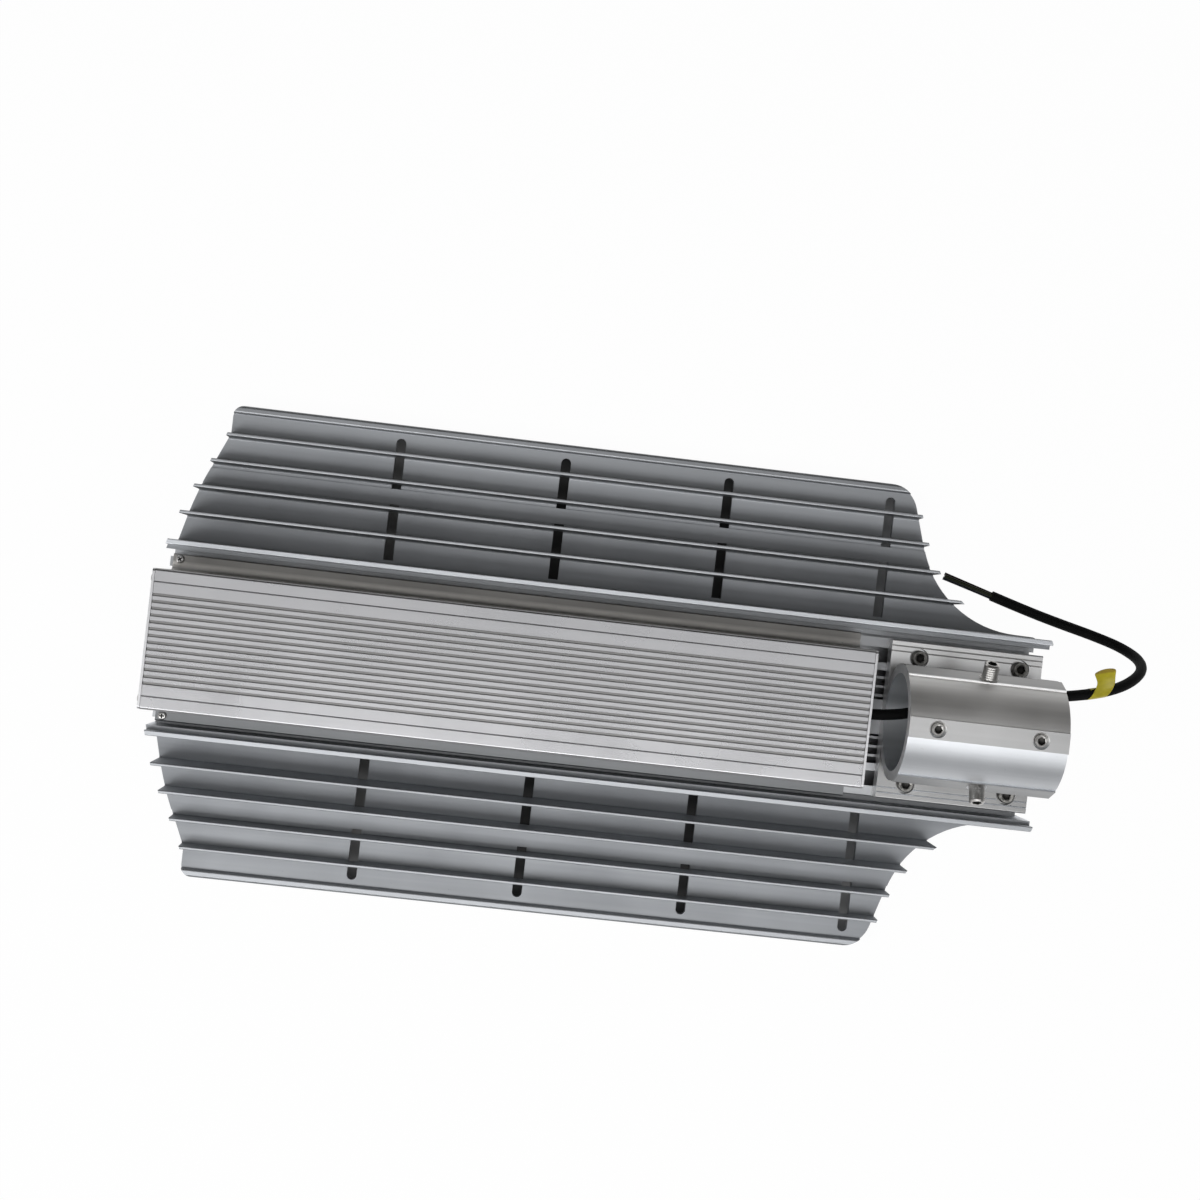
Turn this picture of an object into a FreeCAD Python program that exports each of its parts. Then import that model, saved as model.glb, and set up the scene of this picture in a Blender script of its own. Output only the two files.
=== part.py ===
# LED street light head: two extruded heat sink wings bolted to a centre spine.
# A driver box stands on the spine, and a tube clamp at one end takes the pole arm.
# Frame: +X towards the pole arm, +Z up, light shines down. Origin: centre of the base.
import FreeCAD
import Part

import math
import os

Vec = FreeCAD.Vector
along_x = Vec(1, 0, 0)
along_z = Vec(0, 0, 1)

# Heights, counted up from the lens tips, which the head rests on
lens_height = 4.5
lens_plate_thickness = 4.0
gasket_thickness = 1.0
wing_base = 4.0
lens_plate_under = lens_height
gasket_under = lens_plate_under + lens_plate_thickness
wing_under = gasket_under + gasket_thickness
wing_floor = wing_under + wing_base

# Clearances
screw_clearance = 0.15
slide_clearance = 0.3

# Wing section, distances from the middle plane of the head
wing_inner = 57.0
wing_outer = 156.0
rail_width = 6.2
rail_height = 34.0
rail_ledge_width = 2.8
rail_ledge_height = 27.0
fin_first = wing_inner + 24.4
fin_last = wing_outer - 20.3
fin_heights = (30.0, 23.5, 16.0, 13.0)
fin_pitch = (fin_last - fin_first) / (len(fin_heights) - 1)
fin_positions = [fin_first + i * fin_pitch for i in range(len(fin_heights))]
fin_tip_thickness = 2.0
fin_root_thickness = 2.6
fin_root_radius = 1.5
fin_tip_radius = 0.6
pad_inner = fin_positions[1] + 3.5
pad_outer = fin_positions[2] - 4.4
pad_height = 1.2
bead_width = 5.5
bead_height = 3.0
bead_radius = 1.8
skirt_thickness = 2.8
skirt_depth = 4.5

# Wing outline seen from above
rail_end_left = -290.0
rail_end_right = 290.0
blunt_bend_x = rail_end_left + 9.6
blunt_bend_y = wing_outer - 61.2
blunt_bend_radius = 200.0
blunt_end_x = rail_end_left + 27.9
blunt_end_y = wing_outer - 19.0
blunt_corner_radius = 8.0
sweep_corner_x = 193.3
sweep_corner_radius = 20.0
sweep_bend_x = 221.0
sweep_bend_y = wing_inner + 8.5
sweep_bend_radius = 72.0
rail_nose_y = wing_inner + 7.2
rail_nose_radius = 4.0

# Cooling slots through the wing floor, one beside each light module
slot_pitch = 110.0
slot_count = 4
slot_last_x = 179.5
slot_width = 6.5
slot_inner = wing_inner + 9.0
slot_outer = wing_outer - 9.0

# Light modules: lens plate, gasket ring and board, one in each bay between the slots
module_length = 96.0
module_inner = wing_inner + 12.0
module_outer = wing_outer - 9.0
module_width = module_outer - module_inner
module_middle_y = (module_outer + module_inner) / 2
module_corner_radius = 6.0
module_wall = 7.5
lens_skin = 1.6
lens_rows = 2
lens_columns = 6
lens_pitch_x = 13.0
lens_pitch_y = 26.0
lens_root_radius = 6.2
lens_tip_radius = 4.0
lens_sides = 8
gasket_inset = 0.4
gasket_width = 2.6
board_thickness = 1.6
board_clearance = 0.5
chip_size = 3.5
chip_height = 0.7
module_screw_inset = 4.8
module_screw_radius = 1.25
module_screw_length = 8.0
module_screw_head_radius = 2.4
module_screw_head_height = 1.6

# Spine section, which runs to the clamp's end
clamp_left = 185.5
clamp_length = 101.0
spine_left = rail_end_left + 1.5
spine_right = clamp_left + clamp_length
spine_floor = 3.0
spine_flange_width = 6.6
spine_height = 21.0
spine_side_height = 9.0
spine_side_wall = 3.0
lip_inner = 46.0
lip_outer = 52.4
lip_web_inner = 49.8
block_inner = 31.0
block_outer = 36.0
block_web_outer = 33.4
lip_thickness = 2.5
spine_fin_positions = (14.0, 20.0, 26.0)
spine_fin_thickness = 1.7
spine_fin_drop = 2.0
duct_half_width = 11.5
duct_wall = 2.4
spine_under = wing_under - spine_floor
spine_top = wing_under + spine_height

# Driver box: tray and lid
box_left = -286.1
box_right = 165.6
box_half_width = 43.8
tray_height = 47.0
tray_wall = 2.8
tray_floor = 2.0
flange_width = 10.6
flange_thickness = 3.0
flange_root_radius = 3.5
flange_edge_radius = 1.0
lid_height = 6.0
lid_plate = 3.2
lid_edge_radius = 1.6
lid_tongue = 2.4
lid_tongue_depth = 5.5
lid_line_y = 35.5
lid_line_width = 0.9
lid_line_depth = 0.7
groove_count = 14
groove_pitch = 4.23
groove_width = 1.9
groove_floor_width = 1.1
groove_depth = 1.5
port_radius = 3.0
port_y = 37.6
port_drop = 3.6
port_sink = 0.4
tray_top = spine_top + tray_height
lid_top = tray_top + lid_height
tray_port_z = spine_top + tray_floor + port_radius - port_sink
lid_port_z = tray_top - port_drop

# End plates, their gaskets and screws
end_gasket_thickness = 0.4
end_gasket_inset = 1.5
end_gasket_width = 5.0
end_plate_thickness = 1.5
end_plate_drop = 0.8
end_plate_radius = 2.0
end_screw_radius = 1.6
end_screw_length = 11.0
end_screw_head_radius = 2.9
end_screw_head_height = 2.0

# Screws that hold the driver box to the spine
flange_screw_inset = 4.5
flange_screw_y = 50.9
tray_screw_places = (-200.0, 120.0)
small_screw_radius = 1.6
small_screw_length = 7.0
small_screw_head_radius = 2.8
small_screw_head_height = 1.9

# LED driver inside the box
driver_left = -120.0
driver_length = 195.0
driver_width = 60.0
driver_height = 36.0
driver_corner_radius = 3.0
driver_foot_length = 12.0
driver_foot_thickness = 2.0
driver_foot_width = 40.0
driver_foot_overlap = 1.0
driver_screw_length = 6.0

# Pole clamp: tube and plate in one extrusion
clamp_plate_half_width = lip_outer
clamp_plate_thickness = 10.0
clamp_axis_height = 42.0
clamp_bore_radius = 31.5
clamp_wall = 6.0
clamp_edge_radius = 1.0
clamp_line_places = (45.0, 48.5)
clamp_line_depth = 0.5
clamp_line_width = 0.9
face_distance = 38.0
face_half_width = 6.4
face_tilt = 24.5
clamp_axis_z = spine_top + clamp_axis_height
clamp_plate_top = spine_top + clamp_plate_thickness
clamp_middle_x = clamp_left + clamp_length / 2

# Clamp fixings: socket screws into strip nuts in the spine's slots, and set screws
plate_screw_spacing = 67.5
plate_screw_shift = 2.0
plate_screw_y = 41.7
plate_screw_radius = 3.0
plate_screw_length = 16.0
plate_screw_head_radius = 5.0
plate_screw_head_height = 6.0
plate_screw_hex = 5.0
hex_depth = 3.2
spot_face_radius = 6.3
spot_face_depth = 3.0
spot_face_reach = 40.0
strip_nut_length = 92.0
strip_nut_thickness = 5.0
top_screw_radius = 4.0
side_screw_radius = 5.0
set_screw_gap = 0.4
set_screw_spacing = 65.0
set_screw_top_out = 0.8
set_screw_side_out = 10.5
set_screw_side_shift = 2.0
set_screw_hex_share = 1.1
countersink_width = 1.3
countersink_depth = 1.2

# Wing bolts, up through the spine's flanges into the rails
wing_bolt_count = 5
wing_bolt_pitch = 125.0
wing_bolt_y = wing_inner + 3.2
wing_bolt_radius = 1.6
wing_bolt_length = 12.0
wing_bolt_head_radius = 2.8
wing_bolt_head_height = 2.4

# Supply cord: grommet, jacket, three bare-ended cores and a blank flag
cord_radius = 3.5
grommet_radius = 5.4
grommet_flange_radius = 8.0
grommet_flange_thickness = 2.0
grommet_proud = 0.5
cord_route = (
    (160.0, 2.3, 63.5),
    (181.0, 2.3, 63.5),
    (208.0, 9.5, 64.6),
    (243.0, 20.0, 66.0),
    (277.0, 25.8, 67.2),
    (304.0, 29.5, 67.0),
    (330.5, 36.4, 62.9),
    (349.5, 47.0, 50.0),
    (356.5, 56.0, 31.0),
    (349.5, 64.0, 12.0),
    (332.0, 70.0, 3.5),
    (306.0, 76.0, 3.5),
    (281.5, 82.3, 3.5),
    (258.1, 89.2, 3.5),
)
core_radius = 1.15
core_length = 35.0
core_straight = 12.0
core_spread = 1.5
core_side = 1.3
core_drop = 0.75
core_stack_height = 2.75 * core_radius
core_names = ("brown", "blue", "earth")
tag_run = cord_route[5:7]
tag_width = 12.5
tag_reach = 17.0
tag_lean = 6.0
tag_thickness = 0.8
tag_tilt = 15.0
tag_gap = 0.3


# Shared helpers
def rounded_wire(corners):
    """Closed wire through (point, radius) corners; a radius of 0 is a sharp corner."""
    count = len(corners)
    starts = []
    ends = []
    middles = []
    for i, (here, radius) in enumerate(corners):
        if radius <= 0:
            starts.append(here)
            ends.append(here)
            middles.append(None)
            continue
        before = corners[i - 1][0] - here
        after = corners[(i + 1) % count][0] - here
        before.normalize()
        after.normalize()
        half = before.getAngle(after) / 2
        reach = radius / math.tan(half)
        inward = before + after
        inward.normalize()
        starts.append(here + before * reach)
        ends.append(here + after * reach)
        middles.append(here + inward * (radius / math.sin(half) - radius))
    edges = []
    for i in range(count):
        if middles[i] is not None:
            edges.append(Part.Arc(starts[i], middles[i], ends[i]).toShape())
        following = starts[(i + 1) % count]
        if (following - ends[i]).Length > 1e-6:
            edges.append(Part.LineSegment(ends[i], following).toShape())
    return Part.Wire(edges)


def section_prism(corners, x0, x1):
    """Extrusion along X of a section given as (y, z, radius) corners."""
    wire = rounded_wire([(Vec(x0, y, z), radius) for y, z, radius in corners])
    return Part.Face(wire).extrude(along_x * (x1 - x0))


def plan_prism(corners, z0, z1):
    """Upright block whose outline is given as (x, y, radius) corners."""
    wire = rounded_wire([(Vec(x, y, z0), radius) for x, y, radius in corners])
    return Part.Face(wire).extrude(along_z * (z1 - z0))


def box(x0, x1, y0, y1, z0, z1):
    return Part.makeBox(x1 - x0, y1 - y0, z1 - z0, Vec(x0, y0, z0))


def rounded_block(middle_x, middle_y, length, width, z0, z1, radius):
    x0 = middle_x - length / 2
    x1 = middle_x + length / 2
    y0 = middle_y - width / 2
    y1 = middle_y + width / 2
    return plan_prism([(x0, y0, radius), (x1, y0, radius), (x1, y1, radius), (x0, y1, radius)], z0, z1)


def rod(radius, base, direction, length):
    return Part.makeCylinder(radius, length, base, direction)


def screw(base, direction, radius, length, head_radius, head_height):
    """Screw whose head sits at base and whose shank points along direction."""
    shank = rod(radius, base, direction, length)
    head = rod(head_radius, base - direction * head_height, direction, head_height)
    return head.fuse(shank)


def hexagon(base, direction, across, depth):
    """Hexagonal socket, cut from base along direction."""
    corner = across / math.sqrt(3)
    side = direction.cross(along_x if abs(direction.x) < 0.5 else along_z)
    side.normalize()
    other = direction.cross(side)
    points = []
    for i in range(6):
        angle = i * math.pi / 3
        points.append(base + side * (corner * math.cos(angle)) + other * (corner * math.sin(angle)))
    return Part.Face(Part.makePolygon(points + points[:1])).extrude(direction * depth)


def joined(shapes):
    return shapes[0].fuse(shapes[1:]).removeSplitter()


def less(shape, cutters):
    return shape.cut(cutters) if cutters else shape


def both_sides(corners):
    """Section corners of the +Y half, from the middle plane out, completed on the -Y side."""
    return corners + [(-y, z, radius) for y, z, radius in reversed(corners)]


def export(name, shape):
    shape.exportStep(os.path.join("parts", name + ".step"))
    print(name, len(shape.Solids), "solids", round(shape.Volume, 1), "valid", shape.isValid())


def group(name, shapes):
    export(name, Part.makeCompound(shapes))


# Places that repeat
def slot_places():
    return [slot_last_x - i * slot_pitch for i in range(slot_count)]


def module_places():
    """Centre of each light module, with the side of the head that it is on."""
    return [(x - slot_pitch / 2, side) for side in (1, -1) for x in slot_places()]


def module_screw_places(middle_x, side):
    reach_x = module_length / 2 - module_screw_inset
    reach_y = module_width / 2 - module_screw_inset
    middle_y = side * module_middle_y
    return [(middle_x + i * reach_x, middle_y + j * reach_y) for i in (-1, 1) for j in (-1, 1)]


def wing_bolt_places():
    start = -wing_bolt_pitch * (wing_bolt_count - 1) / 2
    return [start + i * wing_bolt_pitch for i in range(wing_bolt_count)]


def plate_screw_places():
    middle = clamp_middle_x + plate_screw_shift
    return [middle + i * plate_screw_spacing / 2 for i in (-1, 1)]


def end_screw_places():
    return [(side * port_y, z) for side in (-1, 1) for z in (tray_port_z, lid_port_z)]


def flange_screw_place():
    return box_left + flange_screw_inset


def driver_screw_places():
    half_foot = driver_foot_length / 2
    return [driver_left - half_foot, driver_left + driver_length + half_foot]


# Wings
def fin_corners(y, height):
    """Corners of one fin, from its outer root over the tip to its inner root."""
    root = fin_root_thickness / 2
    tip = fin_tip_thickness / 2
    top = wing_floor + height
    return [
        (y + root, wing_floor, fin_root_radius),
        (y + tip, top, fin_tip_radius),
        (y - tip, top, fin_tip_radius),
        (y - root, wing_floor, fin_root_radius),
    ]


def wing_section():
    skirt_under = wing_under - skirt_depth
    bead_top = wing_floor + bead_height
    ledge_edge = wing_inner + rail_ledge_width
    rail_outer = wing_inner + rail_width
    corners = [
        (wing_inner, wing_under, 0),
        (wing_outer - skirt_thickness, wing_under, 0),
        (wing_outer - skirt_thickness, skirt_under, 0),
        (wing_outer, skirt_under, 0),
        (wing_outer, bead_top, bead_radius),
        (wing_outer - bead_width, bead_top, bead_radius),
        (wing_outer - bead_width, wing_floor, 0),
    ]
    fins = sorted(zip(fin_positions, fin_heights), reverse=True)
    for y, height in fins:
        corners += fin_corners(y, height)
        inner_neighbours = [other for other in fin_positions if other < y]
        if y > pad_outer and (not inner_neighbours or max(inner_neighbours) < pad_inner):
            corners += [
                (pad_outer, wing_floor, 0),
                (pad_outer, wing_floor + pad_height, 0),
                (pad_inner, wing_floor + pad_height, 0),
                (pad_inner, wing_floor, 0),
            ]
    corners += [
        (rail_outer, wing_floor, fin_root_radius),
        (rail_outer, wing_floor + rail_height, fin_tip_radius),
        (ledge_edge, wing_floor + rail_height, fin_tip_radius),
        (ledge_edge, wing_floor + rail_ledge_height, 0),
        (wing_inner, wing_floor + rail_ledge_height, 0),
    ]
    return corners


def wing_outline():
    return [
        (rail_end_left, wing_inner, 0),
        (blunt_bend_x, blunt_bend_y, blunt_bend_radius),
        (blunt_end_x, blunt_end_y, 0),
        (blunt_end_x, wing_outer, blunt_corner_radius),
        (sweep_corner_x, wing_outer, sweep_corner_radius),
        (sweep_bend_x, sweep_bend_y, sweep_bend_radius),
        (rail_end_right, rail_nose_y, rail_nose_radius),
        (rail_end_right, wing_inner, 0),
    ]


def slot_cutters(x):
    """The two stretches of one slot; the fins run across it and the pad keeps its floor."""
    low = wing_under
    high = wing_floor + fin_root_radius
    half = slot_width / 2
    round_y = slot_outer - half
    inner = box(x - half, x + half, slot_inner, pad_inner, low, high)
    outer = box(x - half, x + half, pad_outer, round_y, low, high)
    end = rod(half, Vec(x, round_y, low), along_z, high - low)
    return [inner, outer.fuse(end).removeSplitter()]


def wing():
    body = section_prism(wing_section(), rail_end_left, rail_end_right)
    top = wing_floor + rail_height
    body = body.common(plan_prism(wing_outline(), wing_under - skirt_depth, top))
    cutters = []
    for x in slot_places():
        cutters += slot_cutters(x)
        for screw_x, screw_y in module_screw_places(x - slot_pitch / 2, 1):
            depth = module_screw_length - lens_plate_thickness - gasket_thickness + slide_clearance
            hole = module_screw_radius + screw_clearance
            cutters.append(rod(hole, Vec(screw_x, screw_y, wing_under), along_z, depth))
    for x in wing_bolt_places():
        depth = wing_bolt_length - spine_floor + slide_clearance
        hole = wing_bolt_radius + screw_clearance
        cutters.append(rod(hole, Vec(x, wing_bolt_y, wing_under), along_z, depth))
    return less(body, cutters)


# Light modules
def lens_places(middle_x, side):
    places = []
    for i in range(lens_columns):
        x = middle_x + (i - (lens_columns - 1) / 2) * lens_pitch_x
        for j in range(lens_rows):
            y = side * module_middle_y + (j - (lens_rows - 1) / 2) * lens_pitch_y
            places.append((x, y))
    return places


def lens(x, y):
    """Faceted lens that narrows from the plate down to its tip."""
    rings = []
    for radius, z in ((lens_root_radius, lens_plate_under), (lens_tip_radius, 0)):
        points = []
        for i in range(lens_sides + 1):
            angle = (i + 0.5) * 2 * math.pi / lens_sides
            points.append(Vec(x + radius * math.cos(angle), y + radius * math.sin(angle), z))
        rings.append(Part.makePolygon(points))
    return Part.makeLoft(rings, True, True)


def lens_plate(middle_x, side):
    middle_y = side * module_middle_y
    plate = rounded_block(
        middle_x, middle_y, module_length, module_width, lens_plate_under, gasket_under, module_corner_radius
    )
    pocket_x = module_length / 2 - module_wall
    pocket_y = module_width / 2 - module_wall
    pocket = box(
        middle_x - pocket_x,
        middle_x + pocket_x,
        middle_y - pocket_y,
        middle_y + pocket_y,
        lens_plate_under + lens_skin,
        gasket_under,
    )
    cutters = [pocket]
    for x, y in module_screw_places(middle_x, side):
        hole = module_screw_radius + screw_clearance
        cutters.append(rod(hole, Vec(x, y, lens_plate_under), along_z, lens_plate_thickness))
    lenses = [lens(x, y) for x, y in lens_places(middle_x, side)]
    return joined([plate.cut(cutters)] + lenses)


def module_gasket(middle_x, side):
    middle_y = side * module_middle_y
    length = module_length - 2 * gasket_inset
    width = module_width - 2 * gasket_inset
    radius = module_corner_radius - gasket_inset
    outer = rounded_block(middle_x, middle_y, length, width, gasket_under, wing_under, radius)
    inner = rounded_block(
        middle_x,
        middle_y,
        length - 2 * gasket_width,
        width - 2 * gasket_width,
        gasket_under,
        wing_under,
        radius - gasket_width,
    )
    return outer.cut(inner)


def led_board(middle_x, side):
    middle_y = side * module_middle_y
    reach_x = module_length / 2 - module_wall - board_clearance
    reach_y = module_width / 2 - module_wall - board_clearance
    under = wing_under - board_thickness
    board = box(
        middle_x - reach_x, middle_x + reach_x, middle_y - reach_y, middle_y + reach_y, under, wing_under
    )
    half = chip_size / 2
    chips = []
    for x, y in lens_places(middle_x, side):
        chips.append(box(x - half, x + half, y - half, y + half, under - chip_height, under))
    return joined([board] + chips)


def module_screws():
    screws = []
    for middle_x, side in module_places():
        for x, y in module_screw_places(middle_x, side):
            screws.append(
                screw(
                    Vec(x, y, lens_plate_under),
                    along_z,
                    module_screw_radius,
                    module_screw_length,
                    module_screw_head_radius,
                    module_screw_head_height,
                )
            )
    return screws


# Spine
def spine_section():
    """Ribbed section: side walls, hooked lips, hooked blocks and cooling fins."""
    floor = wing_under
    hook = spine_top - lip_thickness
    fin_top = spine_top - spine_fin_drop
    half_fin = spine_fin_thickness / 2
    edge = wing_inner + spine_flange_width
    half = [(duct_half_width, spine_top, 0), (duct_half_width, floor, 0)]
    for y in spine_fin_positions:
        half += [
            (y - half_fin, floor, 0),
            (y - half_fin, fin_top, 0),
            (y + half_fin, fin_top, 0),
            (y + half_fin, floor, 0),
        ]
    half += [
        (block_inner, floor, 0),
        (block_inner, spine_top, 0),
        (block_outer, spine_top, 0),
        (block_outer, hook, 0),
        (block_web_outer, hook, 0),
        (block_web_outer, floor, 0),
        (lip_web_inner, floor, 0),
        (lip_web_inner, hook, 0),
        (lip_inner, hook, 0),
        (lip_inner, spine_top, 0),
        (lip_outer, spine_top, 0),
        (lip_outer, floor, 0),
        (wing_inner - spine_side_wall, floor, 0),
        (wing_inner - spine_side_wall, floor + spine_side_height, 0),
        (wing_inner, floor + spine_side_height, 0),
        (wing_inner, floor, 0),
        (edge, floor, 0),
        (edge, spine_under, 0),
    ]
    return both_sides(half)


def spine():
    body = section_prism(spine_section(), spine_left, spine_right)
    inner = duct_half_width - duct_wall
    duct = box(spine_left, spine_right, -inner, inner, wing_under, spine_top - duct_wall)
    cutters = [duct]
    hole = wing_bolt_radius + screw_clearance
    for x in wing_bolt_places():
        for side in (-1, 1):
            cutters.append(rod(hole, Vec(x, side * wing_bolt_y, spine_under), along_z, spine_floor))
    hole = small_screw_radius + screw_clearance
    for side in (-1, 1):
        depth = small_screw_length - flange_thickness + slide_clearance
        place = Vec(flange_screw_place(), side * flange_screw_y, spine_top)
        cutters.append(rod(hole, place, -along_z, depth))
    for x in list(tray_screw_places) + driver_screw_places():
        cutters.append(rod(hole, Vec(x, 0, spine_top), -along_z, duct_wall))
    return less(body, cutters)


# Driver box
def tray():
    flange_edge = box_half_width + flange_width
    flange_top = spine_top + flange_thickness
    inner = box_half_width - tray_wall
    half = [
        (inner, spine_top + tray_floor, 0),
        (inner, tray_top, 0),
        (box_half_width, tray_top, 0),
        (box_half_width, flange_top, flange_root_radius),
        (flange_edge, flange_top, flange_edge_radius),
        (flange_edge, spine_top, 0),
    ]
    parts = [section_prism(both_sides(half), box_left, box_right)]
    for side in (-1, 1):
        base = Vec(box_left, side * port_y, tray_port_z)
        parts.append(rod(port_radius, base, along_x, box_right - box_left))
        rib_y = sorted((side * port_y, side * inner))
        parts.append(box(box_left, box_right, rib_y[0], rib_y[1], spine_top + tray_floor, tray_port_z))
    body = joined(parts)
    cutters = port_holes(tray_port_z)
    hole = small_screw_radius + screw_clearance
    for side in (-1, 1):
        place = Vec(flange_screw_place(), side * flange_screw_y, spine_top)
        cutters.append(rod(hole, place, along_z, flange_thickness))
    for x in list(tray_screw_places) + driver_screw_places():
        cutters.append(rod(hole, Vec(x, 0, spine_top), along_z, tray_floor))
    return less(body, cutters)


def port_holes(z):
    """Pilot holes for the end plate screws, one run along the whole extrusion on each side."""
    hole = end_screw_radius + screw_clearance
    return [rod(hole, Vec(box_left, side * port_y, z), along_x, box_right - box_left) for side in (-1, 1)]


def lid():
    plate_under = lid_top - lid_plate
    tongue_outer = box_half_width - tray_wall - slide_clearance
    tongue_inner = tongue_outer - lid_tongue
    tongue_under = tray_top - lid_tongue_depth
    half_line = lid_line_width / 2
    half = []
    for i in range(groove_count // 2):
        y = (i + 0.5) * groove_pitch
        half += [
            (y - groove_width / 2, lid_top, 0),
            (y - groove_floor_width / 2, lid_top - groove_depth, 0),
            (y + groove_floor_width / 2, lid_top - groove_depth, 0),
            (y + groove_width / 2, lid_top, 0),
        ]
    half += [
        (lid_line_y - half_line, lid_top, 0),
        (lid_line_y, lid_top - lid_line_depth, 0),
        (lid_line_y + half_line, lid_top, 0),
        (box_half_width, lid_top, lid_edge_radius),
        (box_half_width, tray_top, 0),
        (tongue_outer, tray_top, 0),
        (tongue_outer, tongue_under, 0),
        (tongue_inner, tongue_under, 0),
        (tongue_inner, plate_under, 0),
    ]
    parts = [section_prism(both_sides(half), box_left, box_right)]
    for side in (-1, 1):
        base = Vec(box_left, side * port_y, lid_port_z)
        parts.append(rod(port_radius, base, along_x, box_right - box_left))
        rib_y = sorted((side * port_y, side * tongue_outer))
        parts.append(box(box_left, box_right, rib_y[0], rib_y[1], lid_port_z, plate_under))
    return less(joined(parts), port_holes(lid_port_z))


def end_outline(inset, radius):
    edge = box_half_width - inset
    low = spine_top + inset
    high = lid_top - end_plate_drop - inset
    return [(-edge, low, radius), (edge, low, radius), (edge, high, radius), (-edge, high, radius)]


def end_face(direction):
    """X of the extrusions' end on one side, -1 for the left end and 1 for the right."""
    return box_right if direction > 0 else box_left


def end_gasket(direction):
    x0 = end_face(direction)
    x1 = x0 + direction * end_gasket_thickness
    ring = section_prism(end_outline(end_gasket_inset, end_plate_radius), x0, x1)
    inner_outline = end_outline(end_gasket_inset + end_gasket_width, end_plate_radius)
    ring = ring.cut(section_prism(inner_outline, x0, x1))
    hole = end_screw_radius + screw_clearance
    low_x = min(x0, x1)
    cutters = [rod(hole, Vec(low_x, y, z), along_x, end_gasket_thickness) for y, z in end_screw_places()]
    return less(ring, cutters)


def end_plate(direction):
    x0 = end_face(direction) + direction * end_gasket_thickness
    x1 = x0 + direction * end_plate_thickness
    plate = section_prism(end_outline(0, end_plate_radius), x0, x1)
    hole = end_screw_radius + screw_clearance
    low_x = min(x0, x1)
    cutters = [rod(hole, Vec(low_x, y, z), along_x, end_plate_thickness) for y, z in end_screw_places()]
    if direction > 0:
        cord_start = Vec(cord_route[0])
        place = Vec(x0, cord_start.y, cord_start.z)
        cutters.append(rod(grommet_radius, place, along_x, end_plate_thickness))
    return less(plate, cutters)


def end_screws(direction):
    x = end_face(direction) + direction * (end_gasket_thickness + end_plate_thickness)
    screws = []
    for y, z in end_screw_places():
        screws.append(
            screw(
                Vec(x, y, z),
                along_x * -direction,
                end_screw_radius,
                end_screw_length,
                end_screw_head_radius,
                end_screw_head_height,
            )
        )
    return screws


def small_screw(x, y, z):
    return screw(
        Vec(x, y, z),
        -along_z,
        small_screw_radius,
        small_screw_length,
        small_screw_head_radius,
        small_screw_head_height,
    )


def led_driver():
    low = spine_top + tray_floor
    right = driver_left + driver_length
    middle = driver_left + driver_length / 2
    body = rounded_block(
        middle, 0, driver_length, driver_width, low, low + driver_height, driver_corner_radius
    )
    half = driver_foot_width / 2
    foot_top = low + driver_foot_thickness
    foot_start = driver_left - driver_foot_length
    foot_end = right + driver_foot_length
    left_foot = box(foot_start, driver_left + driver_foot_overlap, -half, half, low, foot_top)
    right_foot = box(right - driver_foot_overlap, foot_end, -half, half, low, foot_top)
    hole = small_screw_radius + screw_clearance
    cutters = [rod(hole, Vec(x, 0, low), along_z, driver_foot_thickness) for x in driver_screw_places()]
    return less(joined([body, left_foot, right_foot]), cutters)


def driver_screws():
    z = spine_top + tray_floor + driver_foot_thickness
    screws = []
    for x in driver_screw_places():
        screws.append(
            screw(
                Vec(x, 0, z),
                -along_z,
                small_screw_radius,
                driver_screw_length,
                small_screw_head_radius,
                small_screw_head_height,
            )
        )
    return screws


# Pole clamp
def face_directions():
    """Outward directions of the three flats on the tube: top, +Y side and -Y side."""
    tilt = math.radians(face_tilt)
    return [along_z, Vec(0, math.cos(tilt), math.sin(tilt)), Vec(0, -math.cos(tilt), math.sin(tilt))]


def face_block(direction):
    """Flat land on the tube, square to direction, from the bore's axis out to its face."""
    axis = Vec(clamp_left, 0, clamp_axis_z)
    across = along_x.cross(direction)
    corners = []
    for side, reach in ((-1, 0), (1, 0), (1, face_distance), (-1, face_distance)):
        corners.append(axis + across * (side * face_half_width) + direction * reach)
    return Part.Face(Part.makePolygon(corners + corners[:1])).extrude(along_x * clamp_length)


def line_cutter(y):
    """Shallow V line along the clamp's plate."""
    half = clamp_line_width / 2
    corners = [
        (y - half, clamp_plate_top, 0),
        (y, clamp_plate_top - clamp_line_depth, 0),
        (y + half, clamp_plate_top, 0),
    ]
    return section_prism(corners, clamp_left, clamp_left + clamp_length)


def set_screw_axes():
    """Start on the bore's wall, direction, reach beyond the flat and radius of each set screw."""
    top, left, right = face_directions()
    axis = Vec(0, 0, clamp_axis_z)
    start = clamp_bore_radius + set_screw_gap
    screws = []
    for i in (-1, 1):
        x = clamp_middle_x + i * set_screw_spacing / 2
        screws.append((axis + along_x * x + top * start, top, set_screw_top_out, top_screw_radius))
    for direction in (left, right):
        x = clamp_middle_x + set_screw_side_shift
        place = axis + along_x * x + direction * start
        screws.append((place, direction, set_screw_side_out, side_screw_radius))
    return screws


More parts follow.
